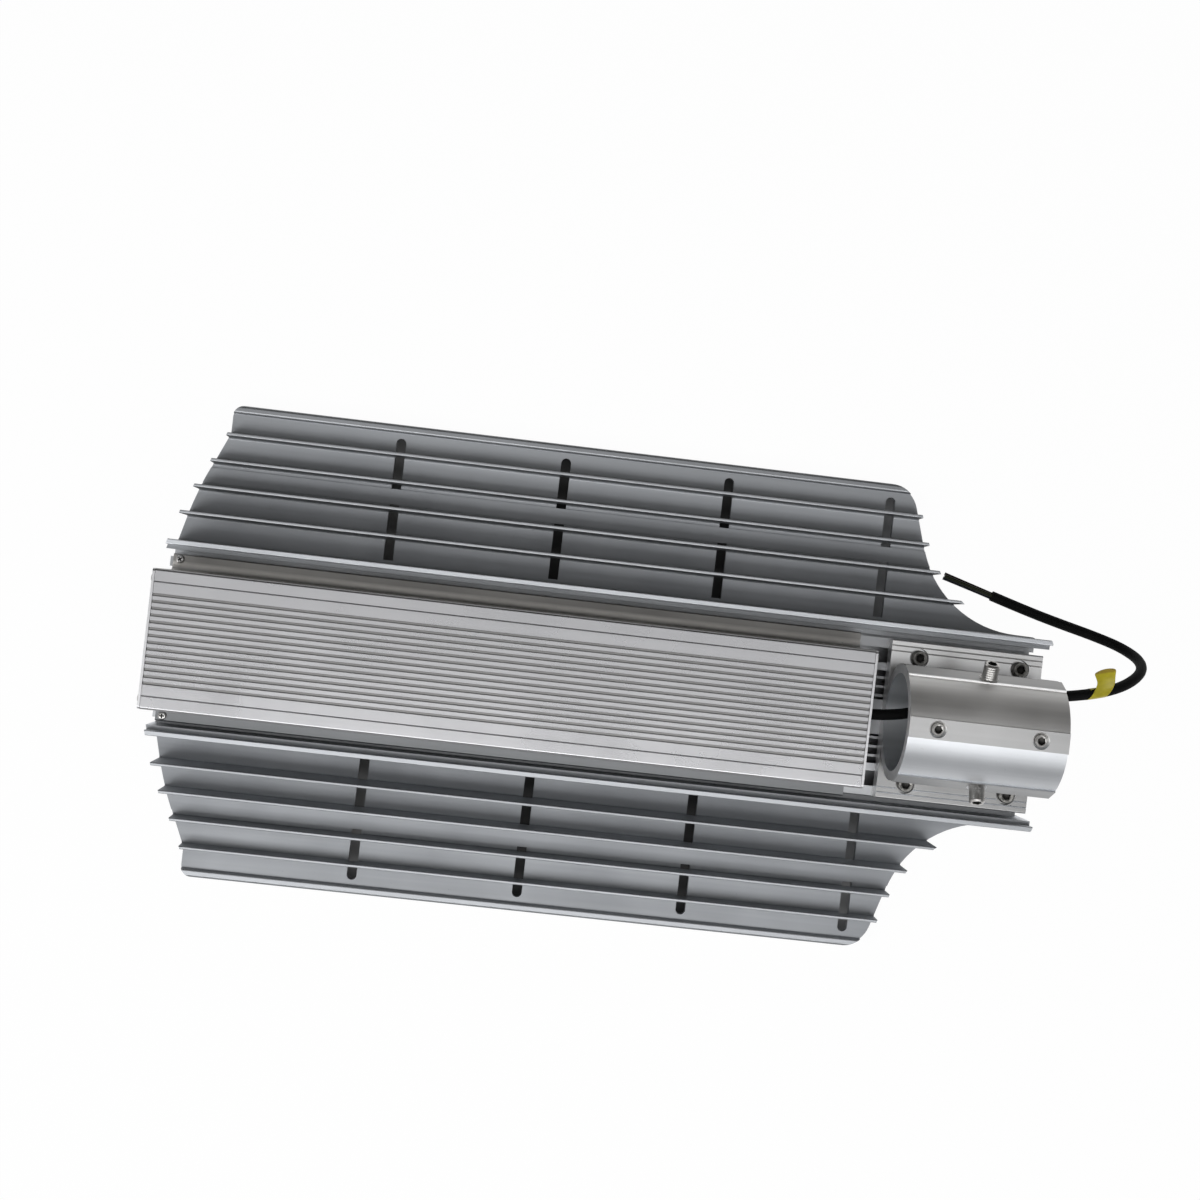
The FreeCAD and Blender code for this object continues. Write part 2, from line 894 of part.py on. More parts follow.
def pole_clamp():
    right = clamp_left + clamp_length
    half = clamp_plate_half_width
    plate_corners = [
        (-half, spine_top, 0),
        (half, spine_top, 0),
        (half, clamp_plate_top, clamp_edge_radius),
        (-half, clamp_plate_top, clamp_edge_radius),
    ]
    axis = Vec(clamp_left, 0, clamp_axis_z)
    tube = rod(clamp_bore_radius + clamp_wall, axis, along_x, clamp_length)
    plate = section_prism(plate_corners, clamp_left, right)
    body = joined([plate, tube] + [face_block(direction) for direction in face_directions()])
    cutters = [rod(clamp_bore_radius, axis, along_x, clamp_length)]
    for side in (-1, 1):
        for y in clamp_line_places:
            cutters.append(line_cutter(side * y))
        for x in plate_screw_places():
            seat = Vec(x, side * plate_screw_y, clamp_plate_top - spot_face_depth)
            cutters.append(rod(spot_face_radius, seat, along_z, spot_face_reach))
            hole = plate_screw_radius + screw_clearance
            depth = clamp_plate_thickness - spot_face_depth
            cutters.append(rod(hole, seat - along_z * depth, along_z, depth))
    for start, direction, reach, radius in set_screw_axes():
        hole = radius + screw_clearance
        length = face_distance - clamp_bore_radius
        inner = start - direction * (2 * set_screw_gap)
        cutters.append(rod(hole, inner, direction, length + 2 * set_screw_gap))
        face = start + direction * (length - set_screw_gap)
        sink_base = face - direction * countersink_depth
        sink = Part.makeCone(hole, hole + countersink_width, countersink_depth, sink_base, direction)
        cutters.append(sink)
    return less(body, cutters)


def set_screw(start, direction, reach, radius):
    length = face_distance - clamp_bore_radius - set_screw_gap + reach
    body = rod(radius, start, direction, length)
    across = radius * set_screw_hex_share
    return body.cut(hexagon(start + direction * length, -direction, across, hex_depth))


def plate_screws():
    screws = []
    for side in (-1, 1):
        for x in plate_screw_places():
            seat = Vec(x, side * plate_screw_y, clamp_plate_top - spot_face_depth)
            body = screw(
                seat,
                -along_z,
                plate_screw_radius,
                plate_screw_length,
                plate_screw_head_radius,
                plate_screw_head_height,
            )
            top = seat + along_z * plate_screw_head_height
            screws.append(body.cut(hexagon(top, -along_z, plate_screw_hex, hex_depth)))
    return screws


def strip_nut(side):
    """Strip nut that hangs under the hooked edges of one slot of the spine."""
    top = spine_top - lip_thickness
    y0 = block_web_outer + slide_clearance
    y1 = lip_web_inner - slide_clearance
    middle = clamp_middle_x + plate_screw_shift
    low_y, high_y = sorted((side * y0, side * y1))
    half = strip_nut_length / 2
    nut = box(middle - half, middle + half, low_y, high_y, top - strip_nut_thickness, top)
    cutters = []
    for x in plate_screw_places():
        base = Vec(x, side * plate_screw_y, top - strip_nut_thickness)
        cutters.append(rod(plate_screw_radius + screw_clearance, base, along_z, strip_nut_thickness))
    return less(nut, cutters)


# Wing bolts
def wing_bolts():
    bolts = []
    for x in wing_bolt_places():
        for side in (-1, 1):
            bolts.append(
                screw(
                    Vec(x, side * wing_bolt_y, spine_under),
                    along_z,
                    wing_bolt_radius,
                    wing_bolt_length,
                    wing_bolt_head_radius,
                    wing_bolt_head_height,
                )
            )
    return bolts


# Cord
def smooth_path(points):
    """Straight runs joined by tangent arcs as large as the runs on both sides allow."""
    points = [Vec(point) for point in points]
    edges = []
    radii = []
    start = points[0]
    for i in range(1, len(points) - 1):
        here = points[i]
        before = points[i - 1] - here
        after = points[i + 1] - here
        reach = 0.45 * min(before.Length, after.Length)
        before.normalize()
        after.normalize()
        half = before.getAngle(after) / 2
        radius = reach * math.tan(half)
        inward = before + after
        inward.normalize()
        first = here + before * reach
        last = here + after * reach
        middle = here + inward * (radius / math.sin(half) - radius)
        edges.append(Part.LineSegment(start, first).toShape())
        edges.append(Part.Arc(first, middle, last).toShape())
        radii.append(round(radius, 1))
        start = last
    edges.append(Part.LineSegment(start, points[-1]).toShape())
    return Part.Wire(edges), radii


def tube_along(points, radius):
    path, radii = smooth_path(points)
    start = Vec(points[0])
    direction = Vec(points[1]) - start
    profile = Part.Wire(Part.Circle(start, direction, radius).toShape())
    tube = path.makePipeShell([profile], True, False)
    section = math.pi * radius ** 2
    ratio = tube.Volume / section / path.Length
    print("bends", radii, "length", round(path.Length, 1), "volume ratio", ratio)
    return tube


def cord_grommet():
    inner_face = box_right + end_gasket_thickness
    start = Vec(cord_route[0])
    base = Vec(inner_face - grommet_flange_thickness, start.y, start.z)
    flange = rod(grommet_flange_radius, base, along_x, grommet_flange_thickness)
    length = grommet_flange_thickness + end_plate_thickness + grommet_proud
    sleeve = rod(grommet_radius, base, along_x, length)
    return flange.fuse(sleeve).removeSplitter().cut(rod(cord_radius, base, along_x, length))


def core_points(index):
    """Route of one core from the end of the jacket down to the surface beside the others."""
    end = Vec(cord_route[-1])
    ahead = end - Vec(cord_route[-2])
    ahead.normalize()
    beside = along_z.cross(ahead)
    side, height, end_side, end_height = (
        (-core_side, -core_drop, -core_spread, core_radius),
        (core_side, -core_drop, core_spread, core_radius),
        (0.0, 2 * core_drop, 0.0, core_stack_height),
    )[index]
    start = end + beside * side + along_z * height
    bend = start + ahead * core_straight
    tip = end + ahead * core_length + beside * end_side
    tip.z = end_height
    return [start, bend, tip]


def cord_tag():
    """Blank flag: a sleeve round the cord with a leaning blade."""
    first, second = [Vec(point) for point in tag_run]
    ahead = second - first
    ahead.normalize()
    level = along_z.cross(ahead)
    level.normalize()
    upright = ahead.cross(level)
    tilt = math.radians(tag_tilt)
    out = level * math.cos(tilt) + upright * math.sin(tilt)
    normal = ahead.cross(out)
    middle = (first + second) * 0.5
    start = middle - ahead * (tag_width / 2)
    inner = cord_radius + tag_gap
    outer = inner + tag_thickness
    root = inner + tag_thickness / 2
    corners = [
        start + out * root,
        start + ahead * tag_width + out * root,
        start + ahead * (tag_width + tag_lean) + out * tag_reach,
        start + ahead * tag_lean + out * tag_reach,
    ]
    corners = [corner - normal * (tag_thickness / 2) for corner in corners]
    blade = Part.Face(Part.makePolygon(corners + corners[:1])).extrude(normal * tag_thickness)
    sleeve = rod(outer, start, ahead, tag_width).cut(rod(inner, start, ahead, tag_width))
    return joined([sleeve, blade])


# Build and write every piece
os.makedirs("parts", exist_ok=True)

left_wing = wing()
export("heat_sink_left", left_wing)
export("heat_sink_right", left_wing.mirror(Vec(0, 0, 0), Vec(0, 1, 0)))
export("spine", spine())
export("driver_tray", tray())
export("driver_lid", lid())
for end_name, direction in (("front", -1), ("rear", 1)):
    export("end_gasket_" + end_name, end_gasket(direction))
    export("end_plate_" + end_name, end_plate(direction))
group("end_plate_screws", end_screws(-1) + end_screws(1))
flange_top = spine_top + flange_thickness
flange_screws = [small_screw(flange_screw_place(), side * flange_screw_y, flange_top) for side in (-1, 1)]
group("flange_screws", flange_screws)
tray_floor_top = spine_top + tray_floor
group("tray_screws", [small_screw(x, 0, tray_floor_top) for x in tray_screw_places])
export("led_driver", led_driver())
group("driver_screws", driver_screws())
export("pole_clamp", pole_clamp())
all_set_screws = [set_screw(*values) for values in set_screw_axes()]
group("top_set_screws", all_set_screws[:2])
group("side_set_screws", all_set_screws[2:])
group("clamp_screws", plate_screws())
export("strip_nut_left", strip_nut(1))
export("strip_nut_right", strip_nut(-1))
group("wing_bolts", wing_bolts())
for number, (middle_x, side) in enumerate(module_places(), 1):
    export("lens_plate_" + str(number), lens_plate(middle_x, side))
    export("module_gasket_" + str(number), module_gasket(middle_x, side))
    export("led_board_" + str(number), led_board(middle_x, side))
group("module_screws", module_screws())
export("cord_grommet", cord_grommet())
export("power_cord", tube_along(cord_route, cord_radius))
for index, colour in enumerate(core_names):
    export("cord_core_" + colour, tube_along(core_points(index), core_radius))
export("cord_tag", cord_tag())
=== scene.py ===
import math

import bmesh
import bpy
from mathutils import Matrix, Vector


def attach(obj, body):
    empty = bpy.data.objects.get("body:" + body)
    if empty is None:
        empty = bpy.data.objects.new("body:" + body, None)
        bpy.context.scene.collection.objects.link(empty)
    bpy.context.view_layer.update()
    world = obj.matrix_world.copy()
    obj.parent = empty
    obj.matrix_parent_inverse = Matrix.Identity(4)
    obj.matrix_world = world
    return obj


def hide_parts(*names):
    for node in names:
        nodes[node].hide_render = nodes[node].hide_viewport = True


# LED street light head, seen from straight above on a pale table.
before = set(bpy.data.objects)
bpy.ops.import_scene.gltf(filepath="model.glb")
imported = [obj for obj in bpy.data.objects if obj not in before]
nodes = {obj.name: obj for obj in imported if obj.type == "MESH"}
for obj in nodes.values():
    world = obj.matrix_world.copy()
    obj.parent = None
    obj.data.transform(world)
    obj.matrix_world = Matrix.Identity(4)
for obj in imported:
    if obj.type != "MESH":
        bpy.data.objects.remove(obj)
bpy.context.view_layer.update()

MM = 0.001
along_x = Vector((1, 0, 0))
along_z = Vector((0, 0, 1))

# Camera: a 50 mm lens above the head, fitted to the photograph
camera_place = Vector((-67.42, 51.18, 1123.96)) * MM
camera_roll = math.radians(6.58)
camera_pan = math.radians(-3.08)
camera_tilt = math.radians(-0.24)
camera_lens = 50.0
camera_sensor = 36.0


def look_at_head():
    turn = Matrix.Rotation(camera_roll, 3, "Z")
    turn = turn @ Matrix.Rotation(camera_pan, 3, "Y") @ Matrix.Rotation(camera_tilt, 3, "X")
    flip = Matrix.Diagonal((1, -1, -1))
    data = bpy.data.cameras.new("camera")
    data.lens = camera_lens
    data.sensor_width = camera_sensor
    data.clip_start = 0.05
    camera = bpy.data.objects.new("camera", data)
    stand = (flip @ turn.transposed() @ flip).to_4x4()
    camera.matrix_world = Matrix.Translation(camera_place) @ stand
    bpy.context.scene.collection.objects.link(camera)
    bpy.context.scene.camera = camera


# Node helpers
class Nodes:
    """Small helper that adds and joins the shader nodes of one material.

    ramp takes a value from its low to its high limit onto 0 to 1; the limits may run downwards."""

    def __init__(self, tree):
        self.tree = tree
        self.tree.nodes.clear()

    def join(self, value, socket):
        if isinstance(value, bpy.types.NodeSocket):
            self.tree.links.new(value, socket)
        else:
            socket.default_value = value

    def add(self, kind, inputs=(), **settings):
        node = self.tree.nodes.new(kind)
        for name, value in settings.items():
            setattr(node, name, value)
        for name, value in dict(inputs).items():
            self.join(value, node.inputs[name])
        return node

    def mix(self, factor, first, second):
        node = self.add("ShaderNodeMix", data_type="RGBA")
        for index, value in ((0, factor), (6, first), (7, second)):
            self.join(value, node.inputs[index])
        return node.outputs[2]

    def math(self, operation, first, second=0.0):
        return self.add("ShaderNodeMath", {0: first, 1: second}, operation=operation).outputs[0]

    def both(self, first, second):
        return self.math("MULTIPLY", first, second)

    def ramp(self, value, low, high, low_out=0.0, high_out=1.0):
        limits = {"Value": value, "From Min": low, "From Max": high}
        limits.update({"To Min": low_out, "To Max": high_out})
        return self.add("ShaderNodeMapRange", limits).outputs["Result"]

    def place(self, axis):
        """One coordinate of the point, in metres."""
        place = self.add("ShaderNodeTexCoord").outputs["Object"]
        return self.add("ShaderNodeSeparateXYZ", {"Vector": place}).outputs[axis]

    def facing(self, axis):
        """How far the surface faces along one axis, from -1 to 1."""
        normal = self.add("ShaderNodeNewGeometry").outputs["True Normal"]
        return self.add("ShaderNodeSeparateXYZ", {"Vector": normal}).outputs[axis]

    def noise(self, scale, detail=3.0, roughness=0.55, stretch=(1, 1, 1)):
        place = self.add("ShaderNodeTexCoord").outputs["Object"]
        mapping = self.add("ShaderNodeMapping", {"Vector": place, "Scale": stretch})
        settings = {"Vector": mapping.outputs["Vector"], "Scale": scale}
        settings.update({"Detail": detail, "Roughness": roughness})
        return self.add("ShaderNodeTexNoise", settings).outputs["Fac"]

    def bump(self, height, strength, distance):
        settings = {"Height": height, "Strength": strength, "Distance": distance}
        return self.add("ShaderNodeBump", settings).outputs["Normal"]

    def finish(self, **inputs):
        shader = self.add("ShaderNodeBsdfPrincipled")
        for name, value in inputs.items():
            self.join(value, shader.inputs[name.replace("_", " ")])
        output = self.add("ShaderNodeOutputMaterial")
        self.tree.links.new(shader.outputs[0], output.inputs[0])


def new_material(name):
    material = bpy.data.materials.new(name)
    material.use_nodes = True
    return material, Nodes(material.node_tree)


def grey(value, tint=(1.0, 1.0, 1.0)):
    return (value * tint[0], value * tint[1], value * tint[2], 1.0)


# Kinds of material
drawn_along_x = (0.02, 1, 1)


def aluminium(name, level, tint, rough, line_strength=0.25, mottle=0.12, wear=0.35, zones=()):
    """Extruded aluminium: fine draw lines along X, faint blotches and rubbed spots.

    Each zone is (mask, level, tint, roughness), where the mask is a function of the nodes."""
    material, n = new_material(name)
    lines = n.noise(900.0, 2.0, 0.6, drawn_along_x)
    broad_lines = n.noise(160.0, 2.0, 0.5, drawn_along_x)
    blotches = n.noise(14.0, 4.0, 0.6)
    specks = n.noise(420.0, 2.0, 0.7)
    tone = n.math("ADD", n.both(broad_lines, 0.55), n.both(blotches, 0.45))
    tone = n.ramp(tone, 0.3, 0.7)
    low, high = 1.0 - mottle, 1.0 + mottle
    colour = n.mix(tone, grey(level * low, tint), grey(level * high, tint))
    roughness = n.ramp(blotches, 0.3, 0.7, rough - 0.05, rough + 0.07)
    for mask, zone_level, zone_tint, zone_rough in zones:
        share = mask(n)
        zone_low = grey(zone_level * low, zone_tint)
        zone_high = grey(zone_level * high, zone_tint)
        colour = n.mix(share, colour, n.mix(tone, zone_low, zone_high))
        roughness = n.ramp(share, 0.0, 1.0, roughness, zone_rough)
    rubbed = n.ramp(specks, 0.70, 0.80, 0.0, wear)
    colour = n.mix(rubbed, colour, grey(level * 0.6, tint))
    normal = n.bump(lines, line_strength, 0.00006)
    n.finish(Base_Color=colour, Metallic=1.0, Roughness=roughness, Normal=normal)
    return material


def steel(name, level, tint, rough):
    """Turned or pressed steel with a fine grain and slightly uneven tone."""
    material, n = new_material(name)
    grain = n.noise(1600.0, 3.0, 0.6)
    patches = n.noise(260.0, 3.0, 0.6)
    colour = n.mix(n.ramp(patches, 0.3, 0.7), grey(level * 0.8, tint), grey(level * 1.15, tint))
    roughness = n.ramp(grain, 0.3, 0.7, rough - 0.06, rough + 0.08)
    normal = n.bump(grain, 0.25, 0.00003)
    n.finish(Base_Color=colour, Metallic=1.0, Roughness=roughness, Normal=normal)
    return material


def rubber(name, level, tint, rough, grain_scale=900.0):
    """Matt rubber or soft plastic with a fine moulded grain and faint dust."""
    material, n = new_material(name)
    grain = n.noise(grain_scale, 3.0, 0.6)
    dust = n.noise(90.0, 4.0, 0.65)
    colour = n.mix(n.ramp(dust, 0.45, 0.8), grey(level, tint), grey(level * 1.6 + 0.002, tint))
    roughness = n.ramp(dust, 0.3, 0.7, rough - 0.06, rough + 0.06)
    normal = n.bump(grain, 0.3, 0.00005)
    n.finish(Base_Color=colour, Roughness=roughness, Normal=normal, Specular_IOR_Level=0.12)
    return material


def plastic(name, colour_low, colour_high, rough, scale=120.0):
    """Moulded plastic with a slight variation of tone."""
    material, n = new_material(name)
    patches = n.noise(scale, 3.0, 0.6)
    fine = n.noise(1500.0, 2.0, 0.6)
    colour = n.mix(n.ramp(patches, 0.3, 0.7), (*colour_low, 1.0), (*colour_high, 1.0))
    n.finish(Base_Color=colour, Roughness=rough, Normal=n.bump(fine, 0.12, 0.00003))
    return material


def lens_plastic():
    """Clear lens plate: slightly milky, glossy, with faint flow marks."""
    material, n = new_material("lens_plastic")
    flow = n.noise(60.0, 3.0, 0.5)
    colour = n.mix(n.ramp(flow, 0.3, 0.7), (0.80, 0.83, 0.86, 1.0), (0.93, 0.95, 0.96, 1.0))
    roughness = n.ramp(flow, 0.3, 0.7, 0.05, 0.12)
    normal = n.bump(flow, 0.05, 0.0001)
    n.finish(
        Base_Color=colour,
        Roughness=roughness,
        IOR=1.49,
        Transmission_Weight=0.65,
        Normal=normal,
    )
    return material


# Masks: each gives 1 on one area of a piece and 0 elsewhere, from its place and the way it faces
bead_level = 15.2 * MM
tip_level = 18.5 * MM
side_level = 14.5 * MM
rail_level = 46.4 * MM
step_level = 40.5 * MM
rail_reach = (63.0 * MM, 62.5 * MM)
foot_start = (44.0 * MM, 44.5 * MM)
foot_end = (50.0 * MM, 48.0 * MM)
groove_level = 82.8 * MM
plate_level = 41.5 * MM
flat_level = 109.5 * MM
bore_axis = 72.5 * MM
bore_reach = (32.2 * MM, 31.8 * MM)
crease_place = 31.9 * MM
crease_level = 91.0 * MM
middle_blend = 2.0 * MM


def above(n, level, soft):
    return n.ramp(n.place("Z"), level - soft, level + soft)


def below(n, level, soft):
    return n.ramp(n.place("Z"), level + soft, level - soft)


def upward(n, low=0.6, high=0.9):
    return n.ramp(n.facing("Z"), low, high)


def distance(n, axis, place):
    return n.math("ABSOLUTE", n.math("SUBTRACT", n.place(axis), place))


def steepness(n, axis):
    return n.math("ABSOLUTE", n.facing(axis))


def wing_upward(n):
    """Upward faces of the wing, with the round tops of its fins and beads."""
    return upward(n, 0.45, 0.8)


def bead_top_painted_shade(n):
    """Upward faces of the bead along the wing's outer edge, set darker as painted shade."""
    return n.both(wing_upward(n), above(n, bead_level, 0.4 * MM))


def fin_tips_painted_light(n):
    """Upward faces higher than the bead: the fins' tips, set to a level of their own as painted
    light.
    """
    return n.both(wing_upward(n), above(n, tip_level, 0.5 * MM))


def fin_sides_painted_light(n):
    """Upright faces of the fins and the rail: painted shade on the left wing, painted light on the
    right.
    """
    return n.both(n.ramp(steepness(n, "Z"), 0.5, 0.25), above(n, side_level, 0.5 * MM))


def rail_sides_painted_light(n):
    """Upright faces of the rail, beside the driver box, lightened as painted light."""
    return n.both(fin_sides_painted_light(n), n.ramp(distance(n, "Y", 0.0), *rail_reach))


def rail_top_painted_light(n):
    """Top of the rail beside the driver box, lighter than the floor as painted light."""
    return n.both(wing_upward(n), above(n, rail_level, 0.4 * MM))


def rail_step_painted_shade(n):
    """Lower step of the rail, beside the driver box, darkened as painted shade."""
    return n.both(wing_upward(n), n.ramp(distance(n, "Z", step_level), 2.0 * MM, 1.0 * MM))


def box_wall_painted_light(n):
    """Wall of the driver box that faces +Y, lightened as painted light."""
    return n.ramp(n.facing("Y"), 0.5, 0.9)


def flange_foot_painted_light(n):
    """Strip of the +Y flange at the foot of the driver box, lightened as painted light over its
    shade.
    """
    beside = n.both(n.ramp(n.place("Y"), *foot_start), n.ramp(n.place("Y"), *foot_end))
    return n.both(upward(n), beside)


def lid_grooves_painted_shade(n):
    """Lower part of the lid's grooves, darkened as painted shade."""
    return below(n, groove_level, 0.6 * MM)


def plus_y_side(n):
    """Half of the part on the +Y side."""
    return n.ramp(n.place("Y"), -middle_blend, middle_blend)


def minus_y_side(n):
    """Half of the part on the -Y side, given a bluer tint as painted reflection."""
    return n.ramp(n.place("Y"), middle_blend, -middle_blend)


def clamp_plate_top(n):
    """Upward faces of the clamp's plate."""
    return n.both(upward(n), below(n, plate_level, 0.5 * MM))


def clamp_plate_left_painted_light(n):
    """Upward faces of the clamp's plate on the +Y side, lightened as painted light."""
    return n.both(clamp_plate_top(n), plus_y_side(n))


def clamp_plate_right_painted_shade(n):
    """Upward faces of the clamp's plate on the -Y side, darkened as painted shade."""
    return n.both(clamp_plate_top(n), minus_y_side(n))


def clamp_flat_painted_shade(n):
    """Flat on the top of the clamp's tube, set darker as painted shade."""
    return n.both(upward(n, 0.993, 0.998), above(n, flat_level, 0.5 * MM))


def clamp_low_sides_painted_shade(n):
    """Steep faces low on the clamp's tube, without its two ends, darkened as painted shade."""
    return n.both(n.ramp(steepness(n, "X"), 0.7, 0.3), n.ramp(n.facing("Z"), 0.55, 0.38))


def clamp_ends(n):
    """Cut ends of the clamp's tube."""
    return n.ramp(steepness(n, "X"), 0.5, 0.9)


def clamp_bore_painted_light(n):
    """Wall of the clamp's bore, bluer and at a level of its own as painted light."""
    off_z = n.math("SUBTRACT", n.place("Z"), bore_axis)
    off_y = n.place("Y")
    square = n.math("ADD", n.both(off_z, off_z), n.both(off_y, off_y))
    return n.ramp(square, bore_reach[0] ** 2, bore_reach[1] ** 2)


def clamp_crease_painted_highlight(n):
    """Painted highlight along the edge of the flat on the clamp's +Y side."""
    beside = n.ramp(distance(n, "Y", crease_place), 0.7 * MM, 0.4 * MM)
    return n.both(beside, above(n, crease_level, 1.0 * MM))


# Finishes
wing_tint = (0.97, 1.0, 1.045)
plain_tint = (1.0, 1.0, 1.0)


def wing_metal(name, level, sides, tips, rail):
    """Metal of one wing: the levels of its floor, its fins' sides and tips, and its rail's top,
    set as painted light and shade.
    """
    zones = (
        # Each zone paints light and shade onto one area of the wing.
        (fin_sides_painted_light, sides, wing_tint, 0.62),
        (rail_sides_painted_light, 0.75, wing_tint, 0.55),
        (bead_top_painted_shade, 0.36, wing_tint, 0.45),
        (fin_tips_painted_light, tips, wing_tint, 0.45),
        (rail_top_painted_light, rail, wing_tint, 0.45),
        (rail_step_painted_shade, 0.30, wing_tint, 0.5),
    )
    return aluminium(name, level, wing_tint, 0.64, zones=zones)


# The right wing's floor is darker than the left's as painted shade: the two are lit and shaded
# copies of one metal.
left_wing_metal = wing_metal("left_wing_metal", 0.46, 0.13, 0.48, 0.74)
right_wing_metal = wing_metal("right_wing_metal", 0.385, 0.42, 0.36, 0.45)
spine_metal = aluminium("spine_metal", 0.42, (0.98, 1.0, 1.03), 0.40)
tray_metal = aluminium(
    # The warm base tint is a painted reflection on the +Y half.
    "tray_metal", 0.29, (1.03, 1.0, 0.96), 0.42, line_strength=0.15,
    zones=(
        # -Y half: darker as painted shade and bluer as painted reflection.
        (minus_y_side, 0.165, (0.97, 1.0, 1.03), 0.36),
        # Box wall lightened as painted light.
        (box_wall_painted_light, 0.70, (1.02, 1.0, 0.97), 0.5),
        # Flange foot lightened as painted light.
        (flange_foot_painted_light, 0.80, (1.03, 1.0, 0.96), 0.6),
    ),
)
lid_metal = aluminium(
    "lid_metal", 0.46, (0.995, 0.995, 1.02), 0.28, line_strength=0.01, mottle=0.05, wear=0.1,
    # Grooves darkened as painted shade.
    zones=((lid_grooves_painted_shade, 0.24, (1.0, 0.99, 0.98), 0.4),),
)
plate_metal = aluminium("plate_metal", 0.55, (1.0, 1.0, 1.02), 0.38, mottle=0.06)
clamp_metal = aluminium(
    # The warm base tint is a painted reflection on the +Y half.
    "clamp_metal", 0.68, (1.01, 1.0, 0.985), 0.52,
    zones=(
        # -Y half bluer as painted reflection.
        (minus_y_side, 0.68, (0.975, 1.0, 1.035), 0.48),
        # Top flat set darker as painted shade.
        (clamp_flat_painted_shade, 0.50, plain_tint, 0.4),
        # Low sides darkened as painted shade.
        (clamp_low_sides_painted_shade, 0.30, plain_tint, 0.5),
        # Plate halves: +Y lightened as painted light, -Y darkened as painted shade.
        (clamp_plate_left_painted_light, 0.75, plain_tint, 0.3),
        (clamp_plate_right_painted_shade, 0.30, plain_tint, 0.3),
        # Bore lightened and tinted as painted light.
        (clamp_bore_painted_light, 0.58, (0.97, 1.0, 1.03), 0.55),
        (clamp_ends, 1.0, plain_tint, 0.5),
        # Crease: a painted highlight.
        (clamp_crease_painted_highlight, 1.0, plain_tint, 0.5),
    ),
)
bright_steel = steel("bright_steel", 0.55, (1.0, 0.99, 0.965), 0.30)
set_screw_steel = steel("set_screw_steel", 0.50, (1.0, 0.98, 0.95), 0.34)
clamp_screw_steel = steel("clamp_screw_steel", 0.26, (1.0, 0.98, 0.93), 0.36)
# Nearly black inside sockets and recesses: painted shade.
socket_painted_shade = steel("socket_painted_shade", 0.05, (1.0, 0.97, 0.92), 0.5)
black_rubber = rubber("black_rubber", 0.003, (1.0, 1.0, 1.05), 0.7)
grey_rubber = rubber("grey_rubber", 0.07, (1.0, 1.0, 1.02), 0.6)
board_white = plastic("board_white", (0.78, 0.79, 0.77), (0.86, 0.87, 0.85), 0.35)
case_plastic = plastic("case_plastic", (0.62, 0.63, 0.64), (0.70, 0.71, 0.72), 0.3)
lens_clear = lens_plastic()
core_brown = rubber("core_brown", 0.012, (1.5, 0.8, 0.6), 0.4)
core_blue = rubber("core_blue", 0.008, (0.7, 0.9, 1.5), 0.4)
core_green = rubber("core_green", 0.012, (1.1, 1.3, 0.5), 0.4)


def flag_plastic():
    """Yellow vinyl that is browner along its free end."""
    material, n = new_material("flag_yellow")
    patches = n.noise(220.0, 3.0, 0.6)
    fine = n.noise(1500.0, 2.0, 0.6)
    across = n.math("ADD", n.both(n.place("X"), flag_way.x), n.both(n.place("Y"), flag_way.y))
    end = n.ramp(across, flag_edge_start, flag_edge_start + 1.2 * MM)
    low = n.mix(end, (0.42, 0.355, 0.010, 1.0), (0.27, 0.19, 0.012, 1.0))
    high = n.mix(end, (0.52, 0.445, 0.018, 1.0), (0.33, 0.24, 0.02, 1.0))
    colour = n.mix(n.ramp(patches, 0.3, 0.7), low, high)
    n.finish(Base_Color=colour, Roughness=0.38, Normal=n.bump(fine, 0.12, 0.00003))
    return material


def paint(material, *names):
    """Give whole CAD nodes one material, through their own material slots."""
    for name in names:
        for slot in nodes[name].material_slots:
            slot.material = material


# Finishes of the CAD nodes that stay
module_count = 8
paint(left_wing_metal, "heat_sink_left")
paint(right_wing_metal, "heat_sink_right")
paint(spine_metal, "spine")
paint(tray_metal, "driver_tray")
paint(lid_metal, "driver_lid")
paint(plate_metal, "end_plate_front", "end_plate_rear")
paint(grey_rubber, "end_gasket_front", "end_gasket_rear")
paint(clamp_metal, "pole_clamp")
paint(bright_steel, "tray_screws", "driver_screws", "strip_nut_left", "strip_nut_right")
paint(case_plastic, "led_driver")
paint(black_rubber, "cord_grommet")
for number in range(1, module_count + 1):
    paint(lens_clear, "lens_plate_%d" % number)
    paint(grey_rubber, "module_gasket_%d" % number)
    paint(board_white, "led_board_%d" % number)


# Fasteners, turned from rings (height, radius) that run from the shank's tip, round the head and
# down into its socket. A radius that isn't round is a function of the angle.
def hexagon_reach(across):
    """Radius of a hexagon, given its width across the flats."""

    def reach(angle):
        turn = angle % (math.pi / 3) - math.pi / 6
        return across / 2 / math.cos(turn)

    return reach


def cross_reach(arm, half_width):
    """Radius of a cross recess."""

    def reach(angle):
        turn = (angle + math.pi / 4) % (math.pi / 2) - math.pi / 4
        return min(arm, half_width / max(abs(math.sin(turn)), 0.001))

    return reach


def knurl_reach(radius, depth, teeth):
    """Radius of a knurled head."""

    def reach(angle):
        return radius - depth * abs(math.sin(teeth * angle / 2))

    return reach


def thread_reach(radius, pitch, depth, height):
    """Radius of a thread at one height."""

    def reach(angle):
        turn = (height / pitch - angle / (2 * math.pi)) % 1.0
        return radius - depth * abs(turn * 2 - 1)

    return reach


rings_per_turn = 4
thread_depth = 0.14


def thread_rings(radius, pitch, start, stop):
    """Rings of a shallow helical thread between two heights."""
    count = round((stop - start) / pitch * rings_per_turn)
    depth = thread_depth * pitch
    rings = []
    for index in range(count + 1):
        height = start + (stop - start) * index / count
        rings.append((height, thread_reach(radius, pitch, depth, height)))
    return rings


